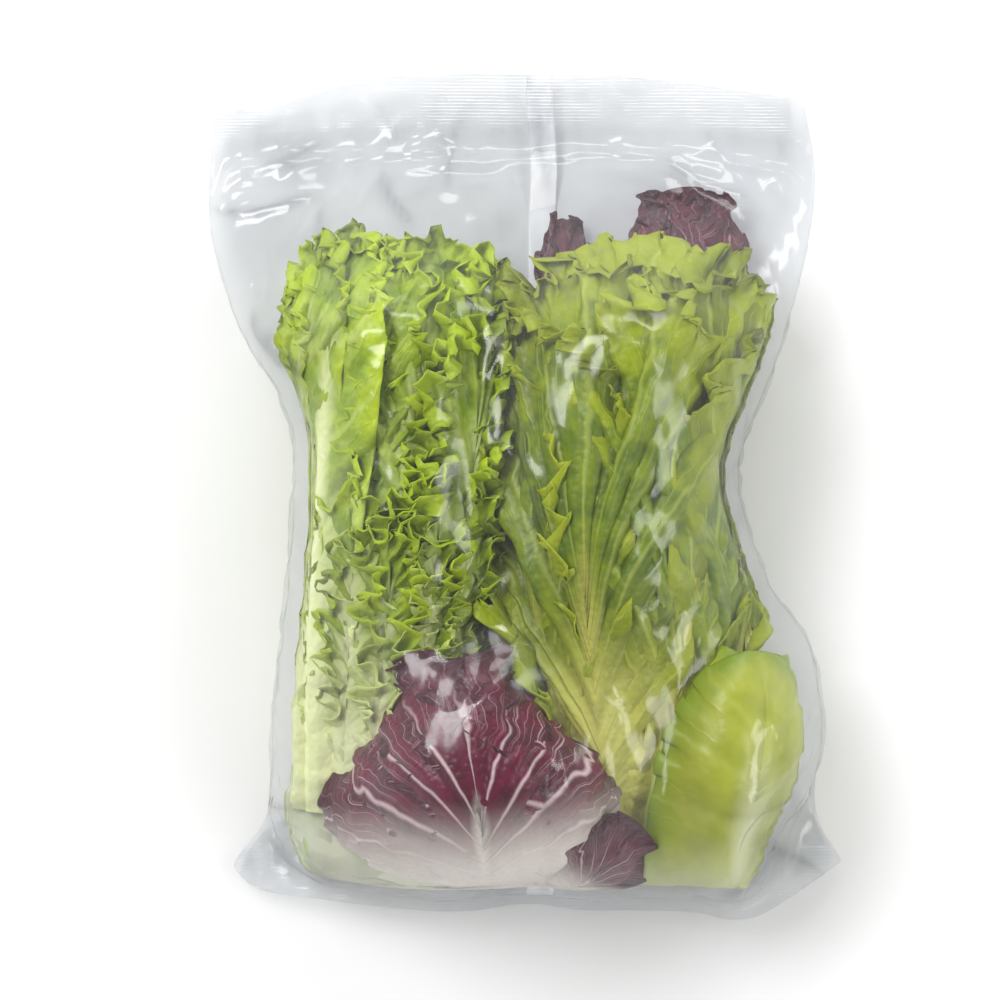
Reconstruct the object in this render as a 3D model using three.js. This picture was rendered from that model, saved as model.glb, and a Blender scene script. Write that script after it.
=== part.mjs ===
// A sealed clear film bag of whole salad heads, lying on its back with its front up.
// Millimetres. +Y runs from the bottom seal to the top seal, +X to the right of the front, +Z up.
// The origin is on the surface that the bag lies on, under the middle of its outline.
// The closed bag is one solid out to its film: two sheets that meet at a thin edge all round,
// swollen by the four heads that press against them.
import * as THREE from "three";
import { mergeVertices } from "three/addons/utils/BufferGeometryUtils.js";

// ---- Driving dimensions ----
const SHEET_EDGE = 1.2; // thickness of the solid where the two sheets are sealed
const SEAL_DEPTH = 9; // width of the flat seal band at each end
const TOP_SEAL_LIFT = 8; // height of the springy top seal above the surface
const BOTTOM_SEAL_LIFT = 17; // height of the bottom seal, half way up the rounded end
const BODY_HEIGHT = 58; // height of the film between the heads
const SIDE_HEIGHT = 0.4; // where the side edge lies, as a share of the height beside it
const BELLY_CLEARANCE = 2.4; // how much of the rounded underside is pressed flat
const END_ROUNDING = 42; // length over which the bottom end rounds up to the belly
const BOTTOM_BELLY = -112; // where the underside meets the surface near the bottom end
const SLOPE_FOOT = 58; // where the front begins to slope down to the top seal
const TOP_BELLY = 84; // where the underside leaves the surface near the top end
const TOP_SEAL_LINE = 150; // where the two sheets come together at the top
const SLOPE_SHAPE = 1.25; // over 1 lets the slope sag towards the top seal
const LEFT_EAR = [10, 40]; // the bag opens between these distances from the left bottom corner
const RIGHT_EAR = [16, 50]; // and between these from the right bottom corner
// The two sheets are rounded across the bag by superellipses: (1 - side ** power) ** root.
const FRONT_ROUND = { power: 2.6, root: 0.55 };
const BACK_ROUND = { power: 3.4, root: 0.6 };
const BOTTOM_DROOP = 0.55; // how far the bottom seal droops towards its corners
const CELLS_ACROSS = 36;
const CELLS_ALONG = 46;
const SIDE_CROWDING = 0.8; // 0 spaces the cells evenly, 1 crowds them towards the sides

// The outline that the two sheets share, seen from the front. It flares at the empty top,
// draws in at the waist, and ends in two flattened ears at the bottom corners.
const LEFT_SIDE = [
  [-113, -139], [-98, -117], [-95, -80], [-89, -28], [-87, 18], [-93, 40], [-106, 60],
  [-118, 92], [-121, 118], [-119, 145],
];
const RIGHT_SIDE = [
  [119, -138], [108, -118], [109, -84], [104, -54], [90, -34], [78, 0], [79, 20],
  [92, 52], [104, 92], [108, 122], [103, 152],
];
const TOP_EDGE = [
  [-119, 145], [-87, 152], [-50, 159.5], [12, 161], [60, 157], [84, 153.5], [103, 152],
];
const BOTTOM_EDGE = [
  [-113, -139], [-104, -148], [-83, -151.5], [-30, -156.5], [0, -152.5], [14, -155.5], [62, -156.5],
  [83, -160], [119, -138],
];

// Each head lifts the film: its centre, half length, half width, turn in degrees and extra height.
// A head's dome is lift * exp(-(reach ** DOME_SHAPE)), reach being 1 at its half length and width.
const DOME_SHAPE = 1.5;
const HEADS = [
  { name: "right frilled lettuce", at: [38, 20], half: [84, 50], turn: -8, lift: 32 },
  { name: "left frilled lettuce", at: [-52, 8], half: [92, 32], turn: 2, lift: 24 },
  { name: "radicchio", at: [-14, -98], half: [48, 52], turn: 0, lift: 36 },
  { name: "pale heart", at: [82, -96], half: [46, 26], turn: 4, lift: 22 },
];

// A pinch of slack film at the left shoulder, where the wide top narrows to the waist.
const SHOULDER_PINCH = { at: [-90, 42], radius: 13, lift: 7 };
// Slack waves in the empty film below the top seal.
const FLAP_WAVE = { height: 2.2, across: 96, along: 40 };

const smoothstep = (from, to, x) => THREE.MathUtils.smoothstep(x, from, to);

const curveThrough = (points) =>
  new THREE.SplineCurve(points.map(([x, y]) => new THREE.Vector2(x, y)));

const outline = {
  left: curveThrough(LEFT_SIDE),
  right: curveThrough(RIGHT_SIDE),
  top: curveThrough(TOP_EDGE),
  bottom: curveThrough(BOTTOM_EDGE),
};

// A place on the sheets: across and along run from 0 to 1 between the four outline curves.
function placeOnSheet(across, along) {
  const left = outline.left.getPointAt(along);
  const right = outline.right.getPointAt(along);
  const bottom = outline.bottom.getPointAt(across);
  const top = outline.top.getPointAt(across);
  const betweenSides = left.lerp(right, across);
  const betweenEnds = bottom.lerp(top, along);
  const lowCorners = outline.bottom.getPoint(0).lerp(outline.bottom.getPoint(1), across);
  const highCorners = outline.top.getPoint(0).lerp(outline.top.getPoint(1), across);
  return betweenSides.add(betweenEnds).sub(lowCorners.lerp(highCorners, along));
}

// How far the film stands above the level between the heads.
function liftOfHeads(place) {
  let squares = 0;
  for (const { at, half, turn, lift } of HEADS) {
    const angle = THREE.MathUtils.degToRad(turn);
    const local = place.clone().sub(new THREE.Vector2(...at)).rotateAround(new THREE.Vector2(), -angle);
    const reach = (local.x / half[1]) ** 2 + (local.y / half[0]) ** 2;
    const dome = lift * Math.exp(-(reach ** DOME_SHAPE));
    squares += dome * dome;
  }
  return Math.sqrt(squares);
}

// How full the bag is along its length: 0 in each seal band, 1 over the belly.
function fullness(place, across) {
  const pastSeal = place.y - outline.bottom.getPointAt(across).y - SEAL_DEPTH;
  const fromBottom = THREE.MathUtils.clamp(pastSeal / END_ROUNDING, 0, 1);
  const roundEnd = Math.sqrt(1 - (1 - fromBottom) ** 2);
  const slope = (1 - smoothstep(SLOPE_FOOT, TOP_SEAL_LINE, place.y)) ** SLOPE_SHAPE;
  return roundEnd * slope;
}

// 1 away from the bottom corners, falling to 0 in the flattened ears.
function earOpening(place) {
  const fromLeft = place.distanceTo(outline.left.getPoint(0));
  const fromRight = place.distanceTo(outline.right.getPoint(0));
  return smoothstep(...LEFT_EAR, fromLeft) * smoothstep(...RIGHT_EAR, fromRight);
}

// The wavy height of the sealed edge and the empty film at either end.
function restingLift(place, side) {
  const topEnd = smoothstep(TOP_BELLY, TOP_SEAL_LINE, place.y);
  const bottomEnd = 1 - smoothstep(BOTTOM_BELLY - END_ROUNDING, BOTTOM_BELLY, place.y);
  const droop = 1 - BOTTOM_DROOP * side ** 2;
  const turns = place.x / FLAP_WAVE.across + (place.x / FLAP_WAVE.across) ** 2 / 5;
  const wave = 1 + Math.sin(turns * 2 * Math.PI + place.y / FLAP_WAVE.along);
  return topEnd * (TOP_SEAL_LIFT + FLAP_WAVE.height * wave) + bottomEnd * BOTTOM_SEAL_LIFT * droop;
}

// The heights of the back and front sheets at one place. side runs from -1 at the left to 1.
function sheetHeights(place, side) {
  const full = fullness(place, (side + 1) / 2) * earOpening(place);
  const body = full * (BODY_HEIGHT + liftOfHeads(place));
  const edge = Math.abs(side);
  const frontRound = (1 - edge ** FRONT_ROUND.power) ** FRONT_ROUND.root;
  const backRound = (1 - edge ** BACK_ROUND.power) ** BACK_ROUND.root;
  const sideLevel = SIDE_HEIGHT * body;
  const lift = restingLift(place, side);
  const pinchReach = place.distanceTo(new THREE.Vector2(...SHOULDER_PINCH.at)) / SHOULDER_PINCH.radius;
  const pinch = SHOULDER_PINCH.lift * Math.exp(-(pinchReach ** 2)) * (1 - edge ** 6);
  const back = Math.max(0, sideLevel * (1 - backRound) + lift - BELLY_CLEARANCE);
  const front = Math.max(back, sideLevel + (body - sideLevel) * frontRound + lift - BELLY_CLEARANCE);
  return { back, front: front + pinch + SHEET_EDGE };
}

// A box with one cell between its two large faces becomes the two sheets and their thin edge.
function bagGeometry() {
  const box = new THREE.BoxGeometry(2, 2, 2, CELLS_ACROSS, CELLS_ALONG, 1);
  box.deleteAttribute("normal");
  box.deleteAttribute("uv");
  const geometry = mergeVertices(box);
  const position = geometry.getAttribute("position");
  for (let i = 0; i < position.count; i++) {
    // Cells are narrower towards the sides, where the film turns over.
    const evenly = position.getX(i);
    const side = THREE.MathUtils.lerp(evenly, Math.sin((evenly * Math.PI) / 2), SIDE_CROWDING);
    const place = placeOnSheet((side + 1) / 2, (position.getY(i) + 1) / 2);
    const { back, front } = sheetHeights(place, side);
    position.setXYZ(i, place.x, place.y, position.getZ(i) > 0 ? front : back);
  }
  geometry.computeBoundingBox();
  const middle = geometry.boundingBox.getCenter(new THREE.Vector3());
  geometry.translate(-middle.x, -middle.y, -geometry.boundingBox.min.z);
  geometry.computeVertexNormals();
  return geometry;
}

const film = new THREE.MeshStandardMaterial({
  color: 0xdde1e2,
  roughness: 0.25,
  metalness: 0,
  transparent: true,
  opacity: 0.4,
});

const bag = new THREE.Mesh(bagGeometry(), film);
bag.name = "salad_bag";

const object = new THREE.Group();
object.add(bag);

export default object;
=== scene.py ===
# %% [markdown]
# # A bag of salad heads
# A clear pillow bag holds whole heads of salad: a frilled lettuce, a finer curly lettuce, two red
# radicchios and a pale heart. The bag lies on its back, so its shown side is up.
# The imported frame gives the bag's size and place, in metres. Everything below is placed from it.

# %% Load the frame
import math
import bmesh
import bpy
import numpy as np
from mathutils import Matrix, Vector
from mathutils.bvhtree import BVHTree


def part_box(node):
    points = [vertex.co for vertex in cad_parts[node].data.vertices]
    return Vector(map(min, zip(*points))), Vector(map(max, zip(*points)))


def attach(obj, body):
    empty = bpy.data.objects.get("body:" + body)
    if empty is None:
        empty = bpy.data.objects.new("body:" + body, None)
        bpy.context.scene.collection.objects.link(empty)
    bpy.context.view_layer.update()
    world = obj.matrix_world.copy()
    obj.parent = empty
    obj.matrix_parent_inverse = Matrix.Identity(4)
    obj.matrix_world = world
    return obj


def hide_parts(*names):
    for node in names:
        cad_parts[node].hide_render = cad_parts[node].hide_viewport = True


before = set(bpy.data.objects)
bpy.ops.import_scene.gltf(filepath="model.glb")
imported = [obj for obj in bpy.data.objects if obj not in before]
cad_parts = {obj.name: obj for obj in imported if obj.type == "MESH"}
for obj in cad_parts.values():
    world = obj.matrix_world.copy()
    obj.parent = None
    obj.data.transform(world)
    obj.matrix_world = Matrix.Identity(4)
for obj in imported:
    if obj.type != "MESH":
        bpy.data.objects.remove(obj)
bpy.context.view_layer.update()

MM = 0.001
bag_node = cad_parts["salad_bag"]
bag_low, bag_high = (np.array(corner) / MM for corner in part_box("salad_bag"))
bag_size = bag_high - bag_low
print("the bag measures", [round(float(side), 1) for side in bag_size], "mm")

# %% [markdown]
# ## The stage
# The camera looks straight down on the lying bag through a long lens, so the bag hardly changes size
# towards the edges. The floor is nearly white. Big soft lights stand round the camera and not above
# it, so that only tilted folds of the film catch them, and the flat film stays clear. A line of sight
# crosses many layers of film and leaf, so it may pass through twenty clear faces, while two bounces
# between the leaves are enough to light their folds.

# %% Camera, floor and lights
scene = bpy.context.scene
scene.view_settings.view_transform = "Standard"
scene.cycles.use_denoising = True
scene.cycles.transparent_max_bounces = 20
scene.cycles.max_bounces = 6
scene.cycles.diffuse_bounces = 2
scene.cycles.glossy_bounces = 2
scene.cycles.caustics_reflective = False
VIEW_WIDTH = 0.379
VIEW_LENS = 150.0
SENSOR_WIDTH = 36.0
VIEW_CENTRE = (-0.0098, -0.0013)
FOCUS_HEIGHT = 0.012
LIGHT_TARGET = Vector((0.0, 0.0, 0.03))
CEILING_LIGHT = 0.30
HORIZON_LIGHT = 0.9


def add_camera():
    data = bpy.data.cameras.new("camera")
    data.lens = VIEW_LENS
    data.sensor_width = SENSOR_WIDTH
    data.clip_end = 20.0
    camera = bpy.data.objects.new("camera", data)
    distance = VIEW_WIDTH * data.lens / data.sensor_width
    camera.location = (VIEW_CENTRE[0], VIEW_CENTRE[1], FOCUS_HEIGHT + distance)
    scene.collection.objects.link(camera)
    scene.camera = camera
    return distance


def add_softbox(name, place, width, length, watts):
    """A long soft light that points at the bag, its length level."""
    data = bpy.data.lights.new(name, "AREA")
    data.shape = "RECTANGLE"
    data.size = length
    data.size_y = width
    data.energy = watts
    lamp = bpy.data.objects.new(name, data)
    lamp.location = place
    direction = LIGHT_TARGET - Vector(place)
    lamp.rotation_euler = direction.to_track_quat("-Z", "Y").to_euler()
    scene.collection.objects.link(lamp)


def add_world(overhead, horizon):
    """A bright band round the horizon under a dimmer ceiling, so that film seen flat stays clear."""
    world = bpy.data.worlds.new("studio")
    world.use_nodes = True
    tree = world.node_tree
    height = tree.nodes.new("ShaderNodeSeparateXYZ")
    tree.links.new(tree.nodes.new("ShaderNodeTexCoord").outputs["Generated"], height.inputs[0])
    level = tree.nodes.new("ShaderNodeMapRange")
    level.inputs["From Min"].default_value = 0.15
    level.inputs["From Max"].default_value = 0.75
    level.inputs["To Min"].default_value = horizon
    level.inputs["To Max"].default_value = overhead
    tree.links.new(height.outputs["Z"], level.inputs["Value"])
    tree.links.new(level.outputs["Result"], tree.nodes["Background"].inputs["Strength"])
    tree.nodes["Background"].inputs["Color"].default_value = (1.0, 1.0, 1.0, 1.0)
    scene.world = world


camera_distance = add_camera()
add_world(CEILING_LIGHT, HORIZON_LIGHT)
add_softbox("key light", (-0.80, 0.70, 1.10), 0.40, 1.0, 17.0)
add_softbox("fill light", (1.10, -0.25, 0.90), 0.35, 1.0, 8.0)
add_softbox("back light", (0.20, 1.25, 0.60), 0.25, 0.9, 6.0)
print("the camera stands", round(camera_distance, 3), "m above the bag")

# %% [markdown]
# ## Node helpers
# Every finish here is made of nodes. These few helpers add a node, feed its sockets from other
# sockets or from plain values, and turn display colours from 0 to 255 into the linear colours that
# shaders want.


# %% Node helpers
def paint(red, green, blue):
    linear = [((c / 255) / 12.92) if c < 11 else ((c / 255 + 0.055) / 1.055) ** 2.4
              for c in (red, green, blue)]
    return (*linear, 1.0)


def feed(tree, socket, source):
    if isinstance(source, bpy.types.NodeSocket):
        tree.links.new(source, socket)
    else:
        socket.default_value = source


def maths(tree, operation, *values, clamp=False):
    node = tree.nodes.new("ShaderNodeMath")
    node.operation = operation
    node.use_clamp = clamp
    for socket, value in zip(node.inputs, values):
        feed(tree, socket, value)
    return node.outputs[0]


def ease(tree, value, start, end):
    """0 below start, 1 above end, smooth between."""
    node = tree.nodes.new("ShaderNodeMapRange")
    node.interpolation_type = "SMOOTHSTEP"
    feed(tree, node.inputs["Value"], value)
    feed(tree, node.inputs["From Min"], start)
    feed(tree, node.inputs["From Max"], end)
    return node.outputs["Result"]


def mix_colours(tree, amount, first, second):
    node = tree.nodes.new("ShaderNodeMix")
    node.data_type = "RGBA"
    feed(tree, node.inputs[0], amount)
    feed(tree, node.inputs[6], first)
    feed(tree, node.inputs[7], second)
    return node.outputs[2]


def add_noise(tree, vector, scale, detail=3.0, roughness=0.55):
    node = tree.nodes.new("ShaderNodeTexNoise")
    feed(tree, node.inputs["Vector"], vector)
    feed(tree, node.inputs["Scale"], scale)
    node.inputs["Detail"].default_value = detail
    node.inputs["Roughness"].default_value = roughness
    return node.outputs["Fac"]


def new_group(name, inputs, outputs):
    """A node group. Each input has a name, a kind and a default; each output a name and a kind."""
    group = bpy.data.node_groups.new(name, "ShaderNodeTree")
    for label, kind, default in inputs:
        socket = group.interface.new_socket(label, in_out="INPUT", socket_type=f"NodeSocket{kind}")
        if default is not None:
            socket.default_value = default
    for label, kind in outputs:
        group.interface.new_socket(label, in_out="OUTPUT", socket_type=f"NodeSocket{kind}")
    ways_in = group.nodes.new("NodeGroupInput").outputs
    ways_out = group.nodes.new("NodeGroupOutput").inputs
    return group, ways_in, ways_out


def place_group(tree, group, **values):
    node = tree.nodes.new("ShaderNodeGroup")
    node.node_tree = group
    for label, value in values.items():
        feed(tree, node.inputs[label.replace("_", " ")], value)
    return node.outputs


def new_material(name):
    material = bpy.data.materials.new(name)
    material.use_nodes = True
    tree = material.node_tree
    return material, tree, tree.nodes["Principled BSDF"]


# %% [markdown]
# ## Mesh helpers
# Every piece starts as a bmesh, and its points are then moved by formula. Moving them one by one would
# be slow, so they are read and written all at once, as a table with one row for each point.


# %% Mesh helpers
def new_piece(name, bm):
    """A finished bmesh becomes a mesh and an object of the same name."""
    mesh = bpy.data.meshes.new(name)
    bm.to_mesh(mesh)
    bm.free()
    piece = bpy.data.objects.new(name, mesh)
    scene.collection.objects.link(piece)
    return piece


def read_places(mesh):
    flat = np.empty(len(mesh.vertices) * 3)
    mesh.vertices.foreach_get("co", flat)
    return flat.reshape(-1, 3)


def read_points(mesh):
    """The mesh's points in millimetres."""
    return read_places(mesh) / MM


def write_points(mesh, points):
    mesh.vertices.foreach_set("co", (points * MM).ravel())
    mesh.update()


def read_normals(mesh):
    flat = np.empty(len(mesh.vertices) * 3)
    mesh.vertex_normals.foreach_get("vector", flat)
    return flat.reshape(-1, 3)


# %% [markdown]
# ## The floor
# A pale painted board. A trace of mottling keeps it from looking like a flat colour. The inner leaves
# are mottled too, so the mottling is a node group that both use, each with its own size.


# %% Mottle group
def make_mottle_group():
    group, given, result = new_group(
        "mottle", [("Place", "Vector", None), ("Size", "Float", 9.0)], [("Shade", "Float")])
    feed(group, result["Shade"], add_noise(group, given["Place"], given["Size"]))
    return group


mottle_group = make_mottle_group()

# %% Floor
FLOOR_SIDE = 6.0
FLOOR_DROP = 0.0004


def add_floor():
    bm = bmesh.new()
    bmesh.ops.create_grid(bm, x_segments=1, y_segments=1, size=FLOOR_SIDE / 2)
    bmesh.ops.translate(bm, verts=bm.verts, vec=(0.0, 0.0, -FLOOR_DROP))
    floor = new_piece("floor", bm)
    material, tree, shader = new_material("floor paint")
    where = tree.nodes.new("ShaderNodeTexCoord").outputs["Object"]
    mottle = place_group(tree, mottle_group, Place=where, Size=9.0)[0]
    colour = mix_colours(tree, mottle, paint(246, 246, 246), paint(250, 250, 250))
    feed(tree, shader.inputs["Base Color"], colour)
    shader.inputs["Roughness"].default_value = 0.8
    shader.inputs["Specular IOR Level"].default_value = 0.2
    floor.data.materials.append(material)


add_floor()

# %% [markdown]
# ## The room inside the bag
# Leaves in a full bag lie against the film. To press them there, the script has to know how high the
# film lies over each spot and how far it reaches to the sides. Rays cast down and up through the CAD
# bag give a map of its roof and of its ground, one value for each two millimetres.

# %% Map the bag's roof and ground
MAP_STEP = 2.0
MIN_ROOM = 6.0
RAY_START = 0.5
MAP_ROUNDS = 4
map_x = np.arange(bag_low[0] + 1, bag_high[0], MAP_STEP)
map_y = np.arange(bag_low[1] + 1, bag_high[1], MAP_STEP)


def map_heights():
    shell = bmesh.new()
    shell.from_mesh(bag_node.data)
    bmesh.ops.remove_doubles(shell, verts=shell.verts, dist=1e-6)
    tree = BVHTree.FromBMesh(shell)
    roof = np.full((len(map_y), len(map_x)), np.nan)
    ground = roof.copy()
    for row, y in enumerate(map_y):
        for column, x in enumerate(map_x):
            above = tree.ray_cast(Vector((x * MM, y * MM, RAY_START)), Vector((0, 0, -1)))[0]
            if above is not None:
                below = tree.ray_cast(Vector((x * MM, y * MM, -RAY_START)), Vector((0, 0, 1)))[0]
                roof[row, column] = above.z / MM
                ground[row, column] = below.z / MM
    shell.free()
    return roof, ground


def side_limits(room):
    """For each row of the map, how far left and right the bag has room for a leaf."""
    limits = []
    for row in room:
        inside = map_x[row > MIN_ROOM]
        limits.append((inside.min(), inside.max()) if len(inside) > 4 else (np.nan, np.nan))
    return np.array(limits).T


roof_map, ground_map = map_heights()
room_map = np.nan_to_num(roof_map - ground_map)
left_limit, right_limit = side_limits(room_map)
rows_with_room = map_y[~np.isnan(left_limit)]
end_limits = rows_with_room.min(), rows_with_room.max()
left_limit = np.interp(map_y, rows_with_room, left_limit[~np.isnan(left_limit)])
right_limit = np.interp(map_y, rows_with_room, right_limit[~np.isnan(right_limit)])


def soften(values, rounds):
    """Each spot becomes the mean of itself and its neighbours, which rounds the CAD facets off."""
    for _ in range(rounds):
        framed = np.pad(values, 1, mode="edge")
        values = (framed[:-2, 1:-1] + framed[2:, 1:-1] + framed[1:-1, :-2] + framed[1:-1, 2:]
                  + 4 * framed[1:-1, 1:-1]) / 8
    return values


EDGE_HEIGHT = float(np.nanmin(roof_map))
roof_map = soften(np.where(np.isnan(roof_map), EDGE_HEIGHT, roof_map), MAP_ROUNDS)
ground_map = soften(np.where(np.isnan(ground_map), EDGE_HEIGHT, ground_map), MAP_ROUNDS)
print("leaves have room from", end_limits[0], "to", end_limits[1], "mm along the bag")


# %% [markdown]
# ## Pressing leaves against the film
# A leaf that would reach through the film is eased back inside it. The last few millimetres before
# the film squeeze more and more, so that folds get flatter there but keep their order and relief.

# %% Press points inside
FILM_GAP = 1.3
SOFT_END = 9.0
SOFT_SIDE = 10.0
SOFT_HEIGHT = 5.0


def read_map(values, x, y):
    """The map's value at each place, straight between its four nearest spots."""
    column = np.clip((x - map_x[0]) / MAP_STEP, 0, len(map_x) - 1.001)
    row = np.clip((y - map_y[0]) / MAP_STEP, 0, len(map_y) - 1.001)
    left, low = column.astype(int), row.astype(int)
    right_part, high_part = column - left, row - low
    lower = values[low, left] * (1 - right_part) + values[low, left + 1] * right_part
    upper = values[low + 1, left] * (1 - right_part) + values[low + 1, left + 1] * right_part
    return lower * (1 - high_part) + upper * high_part


def squeeze(value, low, high, soft):
    """Values near or past a limit ease back inside it and keep their order."""
    soft = np.minimum(soft, 0.45 * (high - low))
    over = np.maximum(value - (high - soft), 0)
    value = np.minimum(value, high - soft) + soft * over / (over + soft)
    under = np.maximum(low + soft - value, 0)
    return np.maximum(value, low + soft) - soft * under / (under + soft)


def press_inside(points):
    """Points in millimetres, moved to where the closed bag holds them."""
    x, y, z = points.T
    y = squeeze(y, end_limits[0], end_limits[1], SOFT_END)
    low = np.interp(y, map_y, left_limit)
    high = np.interp(y, map_y, right_limit)
    x = squeeze(x, low, high, SOFT_SIDE)
    ground = read_map(ground_map, x, y) + FILM_GAP
    roof = read_map(roof_map, x, y) - FILM_GAP
    z = squeeze(z, ground, roof, SOFT_HEIGHT)
    return np.stack([x, y, z], axis=1)


# %% [markdown]
# ## How a leaf is made
# A salad leaf is a flat blade that grew too long at its rim, so the rim has to fold into frills. Side
# veins run from the midrib to the rim, and pleats follow them. So the leaf starts as a flat grid: its
# columns become side veins, and its rows run from the midrib out to the rim. The grid is folded round
# the midrib, its two sides are merged along it, and the pleats and frills are waves across it that
# grow towards the rim. Doing this by formula keeps some sixty leaves different and still exact.


# %% Leaf outline and grid
def smooth(value, start, end):
    part = np.clip((value - start) / (end - start), 0, 1)
    return part * part * (3 - 2 * part)


def wander(x, y, scale, seed, waves=7):
    """A soft random field between about -1 and 1, made of a few crossing waves."""
    rng = np.random.default_rng(seed)
    total = 0
    for _ in range(waves):
        heading, phase = rng.uniform(0, 2 * math.pi, 2)
        stretch = rng.uniform(0.6, 1.8) * 2 * math.pi / scale
        total = total + np.sin((x * math.cos(heading) + y * math.sin(heading)) * stretch + phase)
    return total / math.sqrt(waves)


def leaf_outline(kind):
    """Half of the rim, from the tip to the base: half width, height along the leaf, length so far."""
    turn = np.linspace(0, math.pi / 2, 120)
    crown_x = np.sin(turn) ** kind["squareness"]
    crown_y = kind["widest"] + (1 - kind["widest"]) * np.cos(turn)
    fall = np.linspace(0, 1, 160)[1:]
    side_y = kind["widest"] * (1 - fall)
    side_x = kind["neck"] + (1 - kind["neck"]) * smooth(1 - fall, -0.1, 1.0) ** kind["waist"]
    x = np.concatenate([crown_x, side_x]) * kind["half_width"]
    y = np.concatenate([crown_y, side_y]) * kind["length"]
    steps = np.hypot(np.diff(x), np.diff(y))
    return x, y, np.concatenate([[0], np.cumsum(steps)])


def leaf_grid(columns, rows):
    """A flat grid: x from -1 to 1 along the rim, y from 0 at the midrib to 1 at the rim."""
    bm = bmesh.new()
    bm.loops.layers.uv.new("leaf")
    bmesh.ops.create_grid(bm, x_segments=columns, y_segments=rows, size=0.5, calc_uvs=True)
    bmesh.ops.translate(bm, verts=bm.verts, vec=(0.0, 0.5, 0.0))
    bmesh.ops.scale(bm, verts=bm.verts, vec=(2.0, 1.0, 1.0))
    return bm


# %% [markdown]
# The pleats have round backs and sharp grooves, so each is the size of a sine wave without its sign.
# A frill is a wave along the rim. Its points also slide along the rim twice as often, which turns the
# plain wave into loops that overhang, as a real frill does. A leaf may have a plain side, whose frills
# start later, so that the pleats there stay in sight.


# %% Pleats and frills
def pleat_wave(along, count, seed):
    """Round backs and sharp grooves across the leaf, from 0 in a groove to 1 on a back."""
    bend = 0.32 * wander(along * 10, 0 * along, 6.0, seed)
    return np.abs(np.sin(math.pi * (along * count / 2 + bend)))


def frill_waves(run, to_rim, kind, rng):
    """Waves along the rim that fade inwards: how far they push off the sheet and slide along it."""
    push = 0 * run
    slide = 0 * run
    for wave_length, wave_height, fade in kind["frills"]:
        phase, seed = rng.uniform(0, 2 * math.pi), rng.integers(999)
        drift = 0.4 * wave_length * wander(run, to_rim * 0.3, 5 * wave_length, seed)
        angle = 2 * math.pi * (run + drift) / wave_length + phase
        swell = np.exp(-to_rim / fade) * (0.8 + 0.35 * wander(run, 0 * run, 4 * wave_length, seed + 1))
        push = push + wave_height * swell * np.sin(angle)
        slide = slide - 0.12 * wave_length * swell * np.sin(2 * angle)
    return push, slide


# %% [markdown]
# The parts of the shape now come together. Pleats, blisters and the thick midrib lift points off the
# flat leaf. At the rim the sheet turns outwards and carries its frills with it.

# %% Leaf shape
FINE_PLEATS = 2.7
FRILL_RUN_IN = 0.25
PLAIN_SIDE_DELAY = 0.4


def leaf_lift(a, v, across, along, kind, seed):
    """How far each point stands off the flat leaf, and how deep it lies in a groove."""
    height = along / kind["length"]
    side = np.where(a < 0, -1.0, 1.0)
    grow = smooth(v, 0.0, 0.45)
    pleats = pleat_wave(a, kind["pleats"][0], seed + 1)
    fine = pleat_wave(a, kind["pleats"][0] * FINE_PLEATS, seed + 2)
    depth = kind["pleats"][1] * (0.8 + 0.35 * wander(a * 10, 0 * a, 5.0, seed + 4))
    lift = grow * depth * (pleats - 0.6 + 0.35 * (fine - 0.6))
    lift = lift * smooth(height, 0.02, 0.4)
    lift = lift + kind["blister"][1] * wander(side * across, along, kind["blister"][0], seed + 3) * grow
    rib_thickness = kind["rib"][1] * (1 - 0.85 * smooth(height, 0.1, 0.9))
    lift = lift + rib_thickness * np.exp(-(across / kind["rib"][0]) ** 2)
    return lift, np.clip(1 - (0.75 * pleats + 0.25 * fine) * 1.5, 0, 1) * grow


def shape_leaf(a, v, kind, seed):
    """Where each grid point lies on the leaf: across, along, outwards, and how deep in a groove."""
    outline_x, outline_y, outline_run = leaf_outline(kind)
    side = np.where(a < 0, -1.0, 1.0)
    run = np.abs(a) * outline_run[-1]
    rim_x = np.interp(run, outline_run, outline_x)
    rim_y = np.interp(run, outline_run, outline_y)
    rib_y = kind["length"] * kind["rib_reach"] * (1 - np.abs(a)) ** kind["fan"]
    across = rim_x * v ** 1.15
    along = rib_y + (rim_y - rib_y) * v ** 0.88
    height = along / kind["length"]
    lift, groove = leaf_lift(a, v, across, along, kind, seed)
    frill_from = kind["frill_from"] + PLAIN_SIDE_DELAY * (side == kind.get("plain_side", 0))
    frilled = smooth(height, frill_from, frill_from + FRILL_RUN_IN)
    to_rim = (1 - v) * np.hypot(rim_x, rim_y - rib_y)
    push, slide = frill_waves(side * run, to_rim, kind, np.random.default_rng(seed))
    push, slide = push * frilled, slide * frilled
    band, turn = kind["rim_band"], kind["rim_turn"] * frilled + 1e-4
    turned = np.clip(1 - to_rim / band, 0, 1)
    bend = turn * turned
    lift = lift + band * (1 - np.cos(bend)) / turn + push * np.cos(bend)
    outwards = band * (np.sin(bend) / turn - turned) - push * np.sin(bend)
    heading_x = np.interp(run + 1, outline_run, outline_x) - rim_x
    heading_y = np.interp(run + 1, outline_run, outline_y) - rim_y
    inner = smooth(v, 0.2, 0.5)
    across = across + inner * (heading_x * slide - heading_y * outwards)
    along = along + inner * (heading_y * slide + heading_x * outwards)
    return side * across, along, lift, groove, height


# %% [markdown]
# ## How a head is made
# The leaves of a head wrap round it. A head here is a long soft body that lies in the bag: narrow at
# its butt, wide where its leaves spread. A leaf is laid on that body at its own angle and layer, by
# bending its flat shape round the body's oval section. Angle 90 faces up, to the shown side.


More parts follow.
